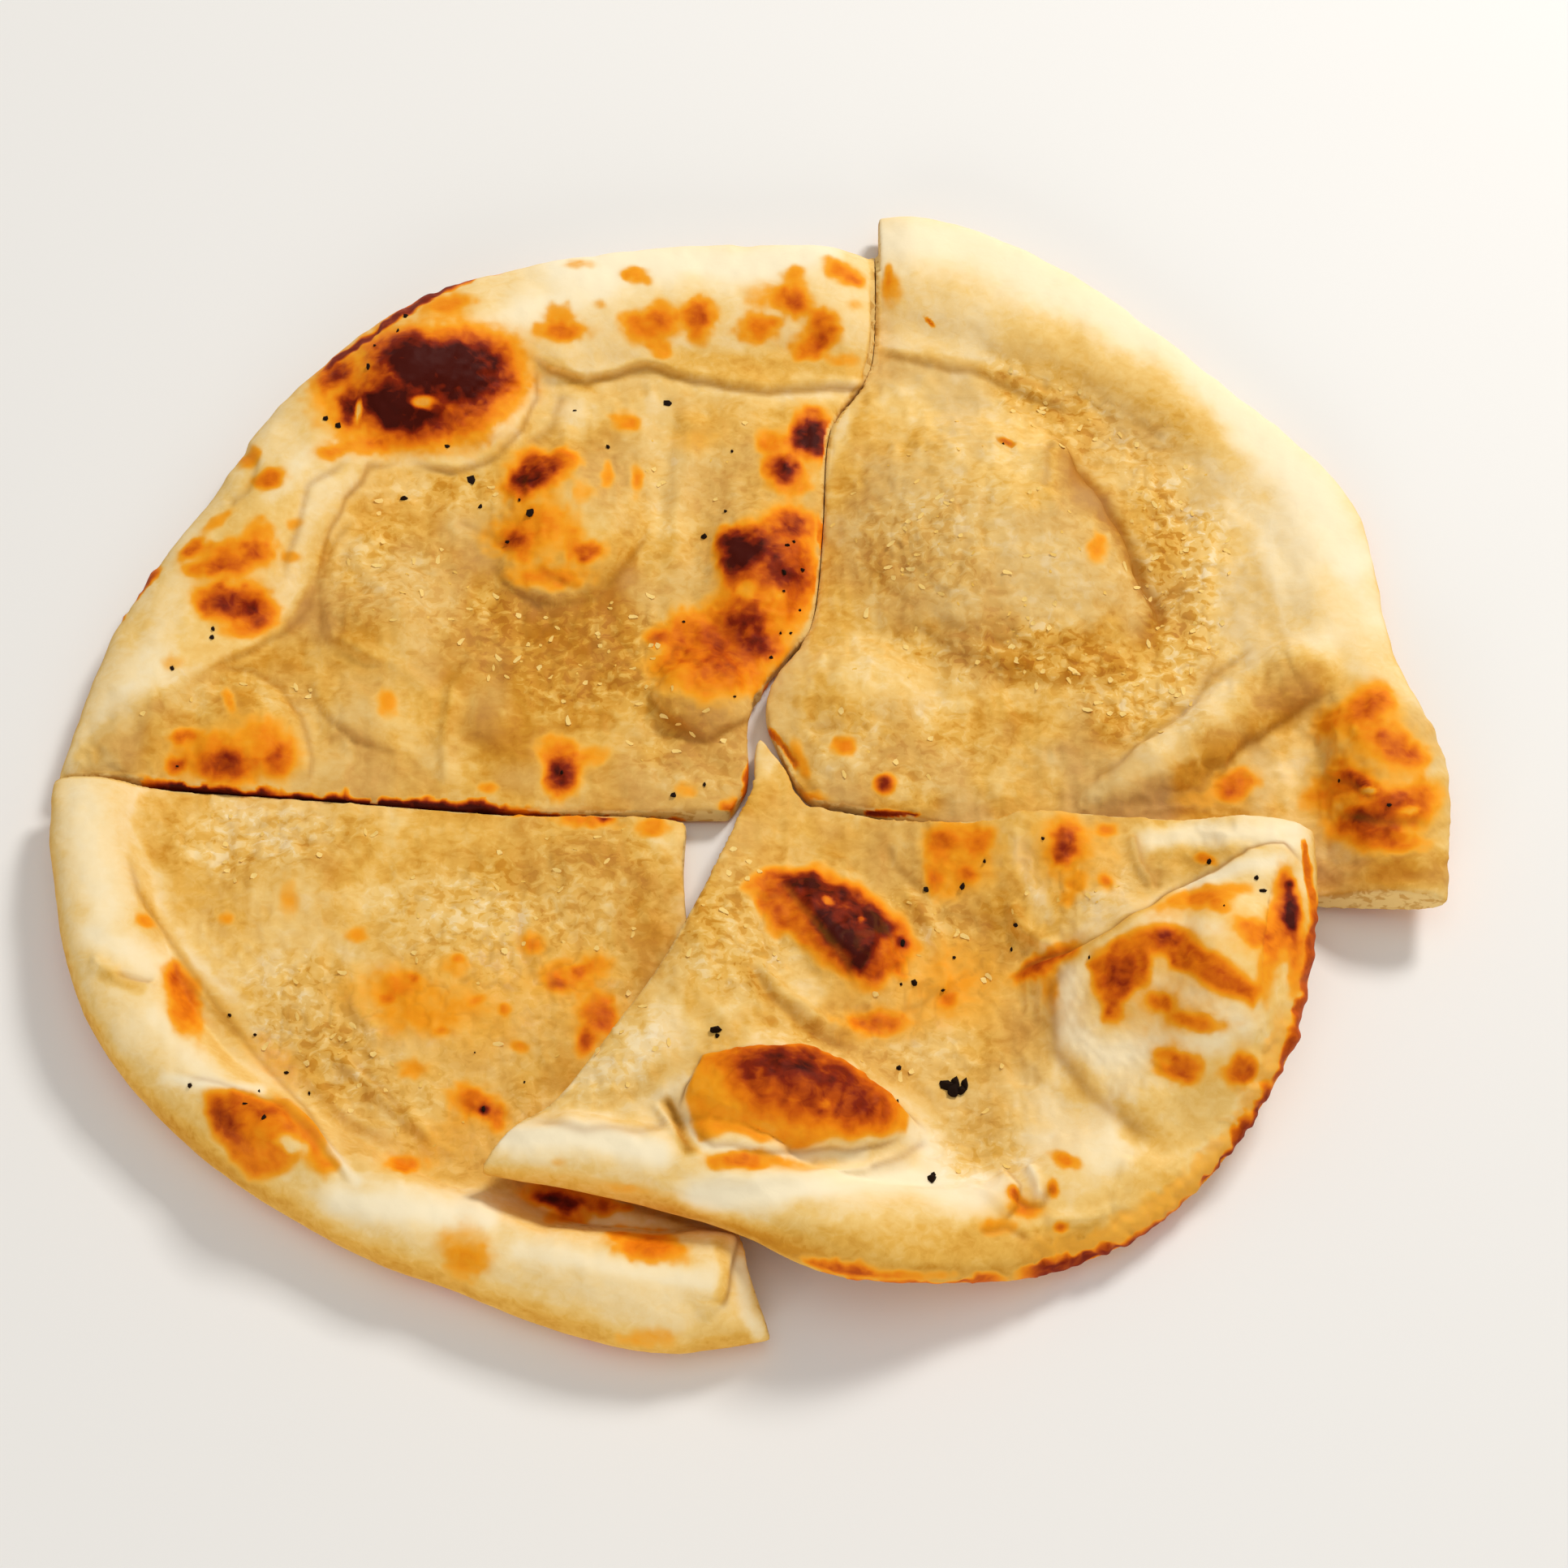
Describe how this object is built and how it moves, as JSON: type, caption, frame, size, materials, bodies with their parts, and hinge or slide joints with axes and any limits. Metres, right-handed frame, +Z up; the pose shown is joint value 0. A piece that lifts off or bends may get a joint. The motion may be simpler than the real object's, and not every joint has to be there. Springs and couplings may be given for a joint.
{
  "type": "tandoori roti",
  "caption": "Round oven-baked flatbread with a puffed rim and blisters, cut crosswise into quarters that still lie as the whole, one pushed a little onto its neighbours.",
  "frame": {"origin": "on the table, under the middle of the whole bread's box", "axes": "+Z up from the table, +X to the right along the longest side of the box, +Y towards the back"},
  "size_m": [0.2294, 0.2188, 0.0245],
  "materials": {
    "baked_dough": "baked wheat dough, pale gold with scorched spots and a thin buttery sheen",
    "char_crumb": "burnt black crumbs of char, dull",
    "dough_flake": "thin dry golden flakes of crust with a buttery sheen"
  },
  "bodies": {
    "root": {"quarter_back_left": "baked_dough", "quarter_back_right": "baked_dough", "quarter_front_left": "baked_dough", "quarter_front_right": "baked_dough"}
  },
  "joints": []
}
